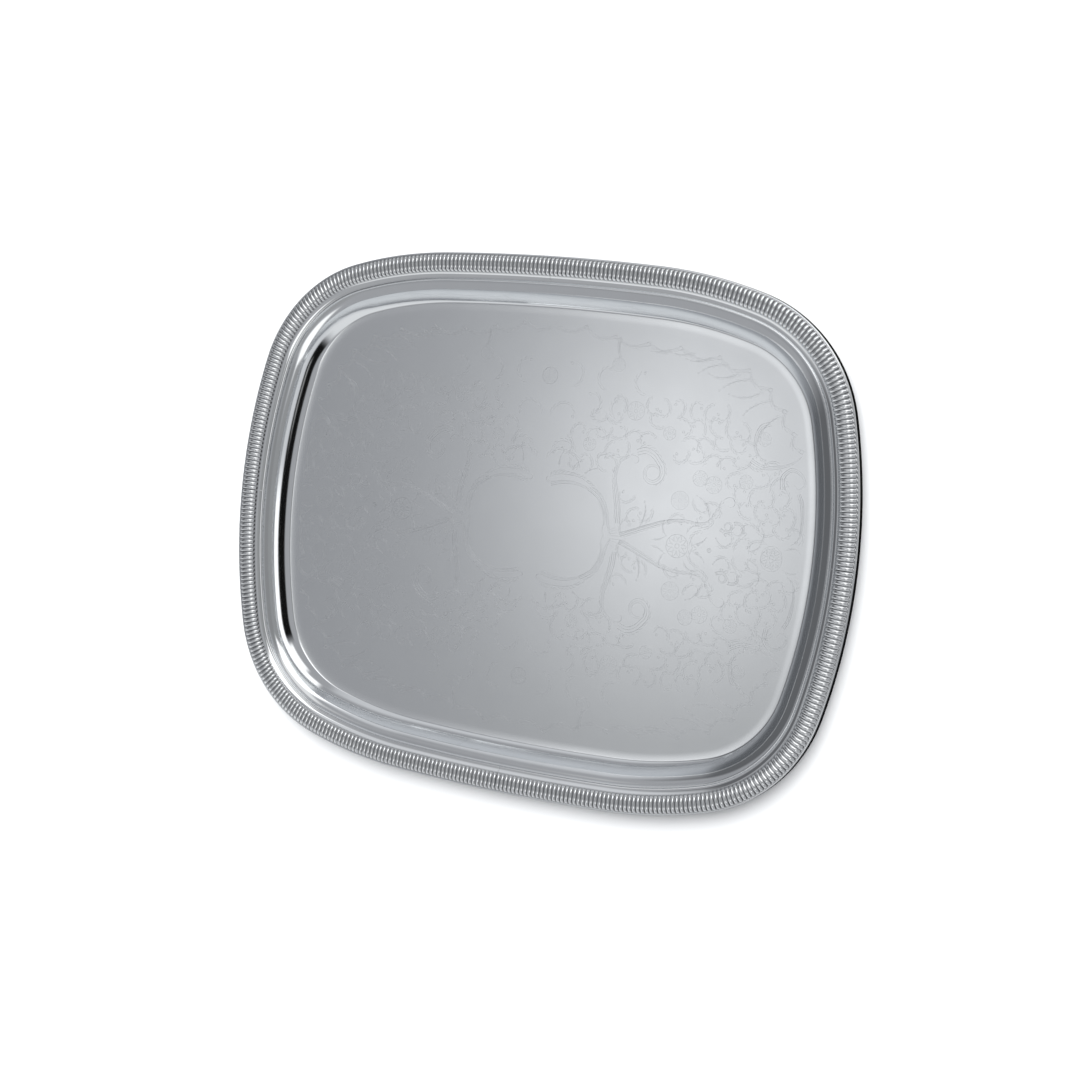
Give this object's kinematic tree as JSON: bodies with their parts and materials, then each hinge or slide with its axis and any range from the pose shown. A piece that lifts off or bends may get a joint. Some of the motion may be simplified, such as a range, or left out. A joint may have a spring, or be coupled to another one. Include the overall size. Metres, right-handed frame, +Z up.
{
  "type": "serving salver",
  "caption": "Oblong silver serving salver: flat satin panel with chased scrollwork, dished wall and a raised fluted border. Rests flat on its underside.",
  "frame": {"origin": "middle of the flat underside, on the surface that the salver rests on", "axes": "+X along the long side, +Y along the short side, +Z up out of the well"},
  "size_m": [0.524, 0.4152, 0.0235],
  "materials": {
    "satin_silver": "silver plate, satin panel with chased pattern, polished wall",
    "polished_silver": "polished silver plate",
    "lead_tin_filling": "dull cast filling, hidden inside the border"
  },
  "bodies": {
    "root": {"tray_plate": "satin_silver", "border_mount_right_back": "polished_silver", "border_mount_left_back": "polished_silver", "border_mount_left_front": "polished_silver", "border_mount_right_front": "polished_silver", "border_filling_right_back": "lead_tin_filling", "border_filling_left_back": "lead_tin_filling", "border_filling_left_front": "lead_tin_filling", "border_filling_right_front": "lead_tin_filling", "edge_band": "polished_silver", "seam_wire": "polished_silver"}
  },
  "joints": []
}
